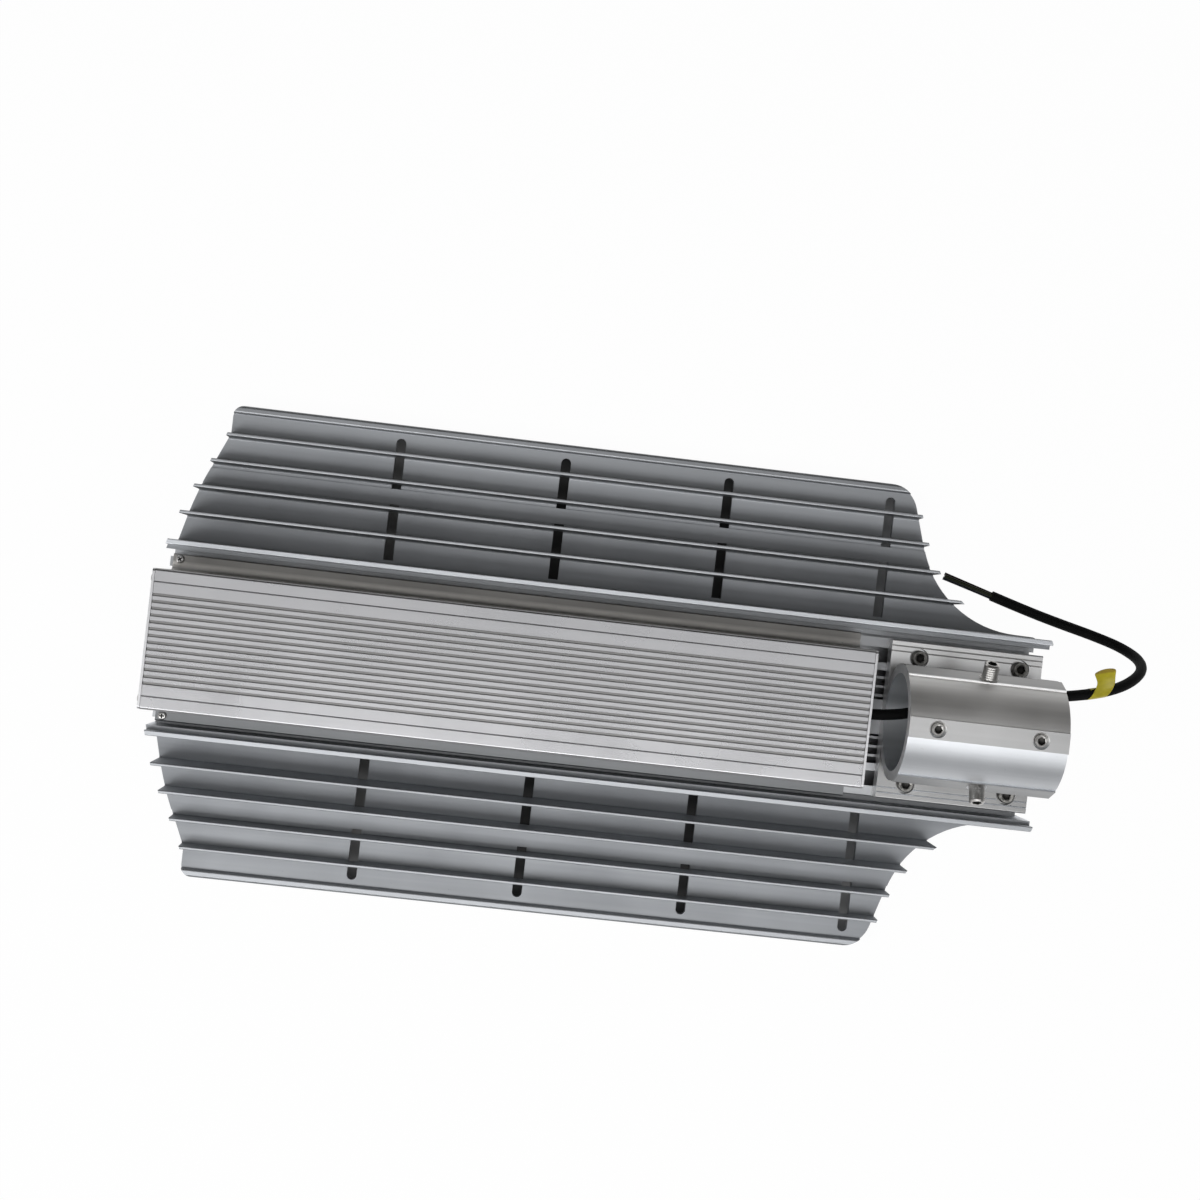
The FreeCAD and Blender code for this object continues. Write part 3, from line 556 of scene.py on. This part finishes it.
def hexagon_socket(top, across, depth):
    """Rings of a hexagon socket with a chamfered mouth and a drilled floor."""
    corner = across / 2 / math.cos(math.pi / 6)
    hexagon = hexagon_reach(across)
    return [
        (top, corner + 0.25),
        (top - 0.3, hexagon),
        (top - depth, hexagon),
        (top - depth - 0.7, 0.3),
    ]


def socket_head_rings(shank, length, head, height, across, depth):
    """Socket head screw with a knurled head."""
    grip = knurl_reach(head, 0.12, 60)
    return [
        (-length, shank - 0.5),
        (-length + 0.5, shank),
        (0.0, shank),
        (0.0, head - 0.35),
        (0.3, head - 0.06),
        (0.5, grip),
        (height - 1.1, grip),
        (height - 0.9, head - 0.06),
        (height - 0.35, head - 0.1),
        (height, head - 0.5),
    ] + hexagon_socket(height, across, depth)


def pan_head_rings(shank, length, head, height):
    """Pan head with a cross recess."""
    arm = 0.56 * head
    half_width = 0.16 * head
    return [
        (-length, 0.4 * shank),
        (-length + 0.7, shank),
        (0.0, shank),
        (0.0, head),
        (0.35 * height, head),
        (0.65 * height, 0.95 * head),
        (0.88 * height, 0.82 * head),
        (0.98 * height, 0.66 * head),
        (height, 0.6 * head),
        (height, cross_reach(arm, half_width)),
        (0.45 * height, cross_reach(0.8 * arm, 0.8 * half_width)),
        (0.2 * height, cross_reach(0.4 * arm, 0.6 * half_width)),
    ]


def set_screw_rings(radius, pitch, length):
    """Set screw that is threaded all along."""
    rings = [(0.0, 0.55 * radius), (0.2, 0.7 * radius), (0.9, radius - 0.3)]
    rings += thread_rings(radius, pitch, 1.2, length - 0.9)
    rings += [(length - 0.7, radius - 0.25), (length, radius - 0.9)]
    return rings + hexagon_socket(length, 1.1 * radius, 3.2)


socket_bands = 2


def add_turned(mesh, place, rings, sides):
    """One turned solid; its last bands and its floor lie inside the socket and take the second
    material, dark as painted shade.
    """
    loops = []
    for height, radius in rings:
        loop = []
        for step in range(sides):
            angle = 2 * math.pi * step / sides
            reach = radius(angle) if callable(radius) else radius
            point = Vector((reach * math.cos(angle), reach * math.sin(angle), height)) * MM
            loop.append(mesh.verts.new(place @ point))
        loops.append(loop)
    for number, (lower, upper) in enumerate(zip(loops, loops[1:])):
        for step in range(sides):
            after = (step + 1) % sides
            face = mesh.faces.new((lower[step], lower[after], upper[after], upper[step]))
            face.material_index = 1 if number >= len(loops) - 1 - socket_bands else 0
    mesh.faces.new(list(reversed(loops[0])))
    mesh.faces.new(loops[-1]).material_index = 1


screw_turn = math.radians(37.0)


def turned_place(origin, direction, index):
    """Where a fastener sits: its seat, the way its head points, and a turn about that line."""
    stand = direction.to_track_quat("Z", "Y").to_matrix().to_4x4()
    own_turn = Matrix.Rotation(screw_turn * index, 4, "Z")
    return Matrix.Translation(Vector(origin) * MM) @ stand @ own_turn


def fasteners(node, seats, rings, sides, material):
    """One piece with a turned fastener at every seat, which stands for the node."""
    mesh = bmesh.new()
    for index, (origin, direction) in enumerate(seats):
        add_turned(mesh, turned_place(origin, direction, index), rings, sides)
    data = bpy.data.meshes.new(node + "_turned")
    mesh.to_mesh(data)
    mesh.free()
    data.shade_smooth()
    data.set_sharp_from_angle(angle=math.radians(30))
    data.materials.append(material)
    data.materials.append(socket_painted_shade)
    piece = bpy.data.objects.new(node + "_turned", data)
    bpy.context.scene.collection.objects.link(piece)
    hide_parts(node)
    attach(piece, "root")


# Seats of the fasteners, in millimetres
end_screw_faces = ((-288.0, -1), (167.5, 1))
end_screw_ys = (-37.6, 37.6)
end_screw_zs = (35.1, 73.9)
flange_screw_x = -281.6
flange_screw_ys = (-50.9, 50.9)
flange_top = 33.5
clamp_screw_xs = (204.25, 271.75)
clamp_screw_ys = (-41.7, 41.7)
clamp_screw_seat = 37.5
clamp_axis = Vector((0.0, 0.0, 72.5))
set_screw_start = 31.9
top_set_xs = (203.5, 268.5)
side_set_x = 238.0
side_set_tilt = math.radians(24.5)
module_xs = (124.5, 14.5, -95.5, -205.5)
module_screw_dx = 43.2
module_screw_dy = 34.2
module_y = 108.0
module_seat = 4.5
wing_bolt_xs = (-250.0, -125.0, 0.0, 125.0, 250.0)
wing_bolt_ys = (-60.2, 60.2)
wing_bolt_seat = 6.5


def end_screw_seats():
    seats = []
    for x, side in end_screw_faces:
        for y in end_screw_ys:
            for z in end_screw_zs:
                seats.append(((x, y, z), along_x * side))
    return seats


def module_screw_seats():
    seats = []
    for middle in module_xs:
        for side in (-1, 1):
            for i in (-1, 1):
                for j in (-1, 1):
                    x = middle + i * module_screw_dx
                    y = side * module_y + j * module_screw_dy
                    seats.append(((x, y, module_seat), -along_z))
    return seats


def grid_seats(xs, ys, z, direction):
    """Seats in rows, all at one height."""
    return [((x, y, z), direction) for x in xs for y in ys]


def side_set_seats():
    seats = []
    for side in (-1, 1):
        direction = Vector((0.0, side * math.cos(side_set_tilt), math.sin(side_set_tilt)))
        seats.append((along_x * side_set_x + clamp_axis + direction * set_screw_start, direction))
    return seats


fasteners(
    "end_plate_screws",
    end_screw_seats(),
    pan_head_rings(1.6, 11.0, 2.9, 2.0),
    48,
    bright_steel,
)
fasteners(
    "flange_screws",
    grid_seats((flange_screw_x,), flange_screw_ys, flange_top, along_z),
    pan_head_rings(1.6, 7.0, 2.8, 1.9),
    48,
    bright_steel,
)
fasteners(
    "module_screws",
    module_screw_seats(),
    pan_head_rings(1.25, 8.0, 2.4, 1.6),
    32,
    bright_steel,
)
fasteners(
    "wing_bolts",
    grid_seats(wing_bolt_xs, wing_bolt_ys, wing_bolt_seat, -along_z),
    pan_head_rings(1.6, 12.0, 2.8, 2.4),
    48,
    bright_steel,
)
fasteners(
    "clamp_screws",
    grid_seats(clamp_screw_xs, clamp_screw_ys, clamp_screw_seat, along_z),
    socket_head_rings(3.0, 16.0, 5.0, 6.0, 5.0, 3.2),
    120,
    clamp_screw_steel,
)
fasteners(
    "top_set_screws",
    grid_seats(top_set_xs, (0.0,), clamp_axis.z + set_screw_start, along_z),
    set_screw_rings(4.0, 1.25, 6.9),
    60,
    set_screw_steel,
)
fasteners(
    "side_set_screws",
    side_set_seats(),
    set_screw_rings(5.0, 1.5, 16.6),
    60,
    set_screw_steel,
)

# Cord, on the same route points as its solid
cord_radius = 3.5 * MM
cord_route = (
    (160.0, 2.3, 63.5),
    (181.0, 2.3, 63.5),
    (208.0, 9.5, 64.6),
    (243.0, 20.0, 66.0),
    (277.0, 25.8, 67.2),
    (304.0, 29.5, 67.0),
    (330.5, 36.4, 62.9),
    (349.5, 47.0, 50.0),
    (356.5, 56.0, 31.0),
    (349.5, 64.0, 12.0),
    (332.0, 70.0, 3.5),
    (306.0, 76.0, 3.5),
    (281.5, 82.3, 3.5),
    (258.1, 89.2, 3.5),
)

# Cores: name, slot, material, where it leaves the jacket (beside and above the cord's end point),
# and where it ends (beside the cord's line and above the surface)
core_radius = 1.15 * MM
core_length = 35.0
core_straight = 12.0
core_ways = (
    ("brown", "core_brown", core_brown, -1.3, -0.75, -1.5, 1.15),
    ("blue", "core_blue", core_blue, 1.3, -0.75, 1.5, 1.15),
    ("earth", "core_green", core_green, 0.0, 1.5, 0.0, 3.1625),
)


def smooth_curve(name, points, radius, material):
    """Round cord along a smooth curve through its route points' hull."""
    data = bpy.data.curves.new(name, "CURVE")
    data.dimensions = "3D"
    data.bevel_depth = radius
    data.bevel_resolution = 6
    data.resolution_u = 10
    data.use_fill_caps = True
    spline = data.splines.new("NURBS")
    spline.points.add(len(points) - 1)
    for control, point in zip(spline.points, points):
        control.co = (point[0] * MM, point[1] * MM, point[2] * MM, 1.0)
    spline.order_u = 3
    spline.use_endpoint_u = True
    data.materials.append(material)
    curve = bpy.data.objects.new(name, data)
    bpy.context.scene.collection.objects.link(curve)
    return curve


def core_route(side, rise, end_side, end_height):
    """Start, bend and tip of one core, which runs on from the jacket's end."""
    end = Vector(cord_route[-1])
    ahead = (end - Vector(cord_route[-2])).normalized()
    beside = along_z.cross(ahead)
    start = end + beside * side + along_z * rise
    bend = start + ahead * core_straight
    tip = end + ahead * core_length + beside * end_side
    tip.z = end_height
    return [start, bend, tip]


def make_cores():
    cores = []
    for name, slot, material, side, rise, end_side, end_height in core_ways:
        route = core_route(side, rise, end_side, end_height)
        core = smooth_curve("core_" + name, route, core_radius, material)
        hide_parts("cord_core_" + name)
        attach(core, "root")
        cores.append(core)
    return cores


# Flag: a strip round the cord whose free end fans out and curls up.
# A wrapped row is (angle round the cord, left end, right end). A free row is its two ends, each as
# (along the cord, across it, above its line). All run from the cord's point nearest flag_place.
flag_place = Vector((317.2, 32.95, 64.95)) * MM
flag_gap = 0.3
flag_thickness = 0.35
flag_way = Vector((-0.252, 0.968, 0.0))
flag_edge_start = flag_way.dot(flag_place) + 12.1 * MM
flag_wrapped = (
    (400, -7.0, -4.0),
    (360, -7.2, -3.0),
    (315, -7.8, -1.5),
    (270, -8.8, 0.0),
    (225, -9.8, 1.5),
    (180, -10.2, 2.8),
    (135, -8.8, 3.8),
    (95, -6.5, 6.0),
)
flag_free = (
    ((-3.8, 3.0, 4.4), (8.2, 2.5, 4.4)),
    ((-1.8, 6.2, 5.0), (9.4, 4.8, 5.0)),
    ((-2.6, 9.4, 6.2), (9.6, 8.4, 6.0)),
    ((-3.8, 12.0, 7.8), (9.9, 11.8, 7.8)),
    ((-4.4, 13.6, 9.2), (10.1, 14.4, 9.6)),
)
flag_columns = 5
flag_bulge = 1.4
flag_sag = 0.5


def cord_line(curve):
    """Points of the cord's own line, read from its spline."""
    plain = bpy.data.objects.new("cord_line", curve.data.copy())
    plain.data.bevel_depth = 0.0
    mesh = bpy.data.meshes.new_from_object(plain)
    points = [vertex.co.copy() for vertex in mesh.vertices]
    bpy.data.meshes.remove(mesh)
    bpy.data.curves.remove(plain.data)
    return points


def on_cord(line, near, distance):
    """Point and direction of the cord's line, some way along it from its point nearest to near."""
    reach = [0.0]
    for first, second in zip(line, line[1:]):
        reach.append(reach[-1] + (second - first).length)
    nearest = min(range(len(line)), key=lambda index: (line[index] - near).length)
    want = reach[nearest] + distance
    index = max(index for index in range(len(line) - 1) if reach[index] <= want)
    ahead = (line[index + 1] - line[index]).normalized()
    return line[index] + ahead * (want - reach[index]), ahead


def flag_rows(line):
    """Rows of points of the flag's middle surface, from its lap round the cord to its free end."""
    rows = []
    shares = [column / (flag_columns - 1) for column in range(flag_columns)]
    for degrees, left, right in flag_wrapped:
        angle = math.radians(degrees)
        row = []
        for share in shares:
            middle, ahead = on_cord(line, flag_place, (left + (right - left) * share) * MM)
            level = along_z.cross(ahead).normalized()
            out = level * math.cos(angle) + ahead.cross(level) * math.sin(angle)
            row.append(middle + out * (cord_radius + flag_gap * MM))
        rows.append(row)
    middle, ahead = on_cord(line, flag_place, 0.0)
    ahead = Vector((ahead.x, ahead.y, 0.0)).normalized()
    level = along_z.cross(ahead)
    for number, (left, right) in enumerate(flag_free):
        row = []
        for share in shares:
            s, t, h = (first + (second - first) * share for first, second in zip(left, right))
            bend = 1.0 - (2 * share - 1) ** 2
            t += flag_bulge * bend * number / (len(flag_free) - 1)
            h -= flag_sag * bend
            row.append(middle + (ahead * s + level * t + along_z * h) * MM)
        rows.append(row)
    return rows


def make_flag(line):
    mesh = bmesh.new()
    rows = [[mesh.verts.new(point) for point in row] for row in flag_rows(line)]
    for lower, upper in zip(rows, rows[1:]):
        for column in range(flag_columns - 1):
            mesh.faces.new((lower[column], lower[column + 1], upper[column + 1], upper[column]))
    data = bpy.data.meshes.new("flag")
    mesh.to_mesh(data)
    mesh.free()
    data.shade_smooth()
    data.materials.append(flag_plastic())
    flag = bpy.data.objects.new("flag", data)
    bpy.context.scene.collection.objects.link(flag)
    smooth = flag.modifiers.new("smooth", "SUBSURF")
    smooth.levels = 3
    smooth.render_levels = 3
    solid = flag.modifiers.new("thickness", "SOLIDIFY")
    solid.thickness = flag_thickness * MM
    solid.offset = 0.0
    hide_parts("cord_tag")
    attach(flag, "root")
    return flag


flex = smooth_curve("flex", cord_route, cord_radius, black_rubber)
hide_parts("power_cord")
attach(flex, "root")
cores = make_cores()
flag = make_flag(cord_line(flex))

# Floor, lamps and background
floor_half = 4.0
wing_cover = (-0.258, 0.186, 0.152)
spine_cover = (-0.286, 0.284, 0.062)
# Area of the table under the slots, which gets painted shade.
slot_cover = (-0.20, 0.21, 0.156)
slot_middle = 0.0145
slot_fade = (0.06, 0.16)
slot_painted_shades = (0.085, 0.23)
hard_edge = 0.5 * MM
slot_edge = 8.0 * MM
glow_share = 0.975


def covered(n, x, off_y, cover, soft):
    """1 on the part of the table that lies under one rectangle (start, end, half width)."""
    start, end, half_width = cover
    inside = n.both(n.ramp(x, start, start + soft), n.ramp(x, end, end - soft))
    return n.both(inside, n.ramp(off_y, half_width, half_width - soft))


def table_material():
    """Pale table, seen as white away from the head, with painted shade where it shows through the
    slots.
    """
    material, n = new_material("table")
    x = n.place("X")
    off_y = n.math("ABSOLUTE", n.place("Y"))
    under_wings = covered(n, x, off_y, wing_cover, hard_edge)
    under_spine = covered(n, x, off_y, spine_cover, hard_edge)
    far = n.math("SUBTRACT", 1.0, n.math("MAXIMUM", under_wings, under_spine))
    path = n.add("ShaderNodeLightPath").outputs
    seen = n.math("MAXIMUM", path["Is Camera Ray"], path["Is Transmission Ray"])
    seen = n.math("MAXIMUM", seen, path["Is Glossy Ray"])
    soft = n.noise(30.0, 2.0, 0.5)
    colour = n.mix(soft, (0.86, 0.86, 0.86, 1.0), (0.90, 0.90, 0.90, 1.0))
    # Painted shade under the slots: darkest under the middle of the head, lighter towards its
    # ends.
    off_middle = distance(n, "X", slot_middle)
    shade = n.mix(n.ramp(off_middle, *slot_fade), grey(slot_painted_shades[0]), grey(slot_painted_shades[1]))
    colour = n.mix(covered(n, x, off_y, slot_cover, slot_edge), colour, shade)
    diffuse = n.add("ShaderNodeBsdfDiffuse", {"Color": colour})
    glow = n.add("ShaderNodeEmission", {"Color": (1.0, 1.0, 1.0, 1.0), "Strength": 1.0})
    share = n.both(n.both(seen, far), glow_share)
    blend = n.add("ShaderNodeMixShader", {0: share, 1: diffuse.outputs[0], 2: glow.outputs[0]})
    output = n.add("ShaderNodeOutputMaterial")
    n.tree.links.new(blend.outputs[0], output.inputs[0])
    return material


def make_table():
    mesh = bpy.data.meshes.new("table")
    signs = ((-1, -1), (1, -1), (1, 1), (-1, 1))
    corners = [(i * floor_half, j * floor_half, 0) for i, j in signs]
    mesh.from_pydata(corners, [], [(0, 1, 2, 3)])
    mesh.materials.append(table_material())
    table = bpy.data.objects.new("table", mesh)
    bpy.context.scene.collection.objects.link(table)


sky_turn = (0.0, 0.50)
sky_bright = (0.17, 0.172, 0.175, 1.0)
sky_dark = (0.055, 0.053, 0.049, 1.0)
horizon = 0.12


def make_world():
    """Studio that is brighter overhead and towards -Y, darker and warmer towards +Y.

    The camera sees it white, as clear pieces do, and metal sees it white near the horizon."""
    world = bpy.data.worlds.new("studio")
    world.use_nodes = True
    bpy.context.scene.world = world
    n = Nodes(world.node_tree)
    direction = n.add("ShaderNodeTexCoord").outputs["Generated"]
    parts = n.add("ShaderNodeSeparateXYZ", {"Vector": direction}).outputs
    dark_side = n.ramp(parts["Y"], sky_turn[0], sky_turn[1])
    colour = n.mix(dark_side, sky_bright, sky_dark)
    light = n.add("ShaderNodeBackground", {"Color": colour, "Strength": 1.0})
    white = n.add("ShaderNodeBackground", {"Color": (1.0, 1.0, 1.0, 1.0), "Strength": 1.0})
    path = n.add("ShaderNodeLightPath").outputs
    seen = n.math("MAXIMUM", path["Is Camera Ray"], path["Is Transmission Ray"])
    glossy = n.both(path["Is Glossy Ray"], n.ramp(parts["Z"], horizon, 0.0))
    seen = n.math("MAXIMUM", seen, glossy)
    blend = n.add("ShaderNodeMixShader", {0: seen, 1: light.outputs[0], 2: white.outputs[0]})
    output = n.add("ShaderNodeOutputWorld")
    world.node_tree.links.new(blend.outputs[0], output.inputs[0])


def area_lamp(name, place, target, size, power):
    data = bpy.data.lights.new(name, "AREA")
    data.shape = "RECTANGLE"
    data.size = size[0]
    data.size_y = size[1]
    data.energy = power
    lamp = bpy.data.objects.new(name, data)
    lamp.location = place
    lamp.rotation_euler = (Vector(target) - Vector(place)).to_track_quat("-Z", "Y").to_euler()
    bpy.context.scene.collection.objects.link(lamp)


look_at_head()
make_table()
make_world()
area_lamp("key_softbox", (-0.15, -0.61, 1.37), (-0.15, 0, 0), (2.2, 0.64), 14.5)
area_lamp("overhead_panel", (-0.05, 0.02, 1.5), (-0.05, 0.02, 0), (1.8, 0.55), 2.3)
area_lamp("left_panel", (-1.1, -0.6, 0.9), (-0.2, 0, 0), (0.6, 0.6), 3.0)

bpy.context.scene.view_settings.view_transform = "Standard"
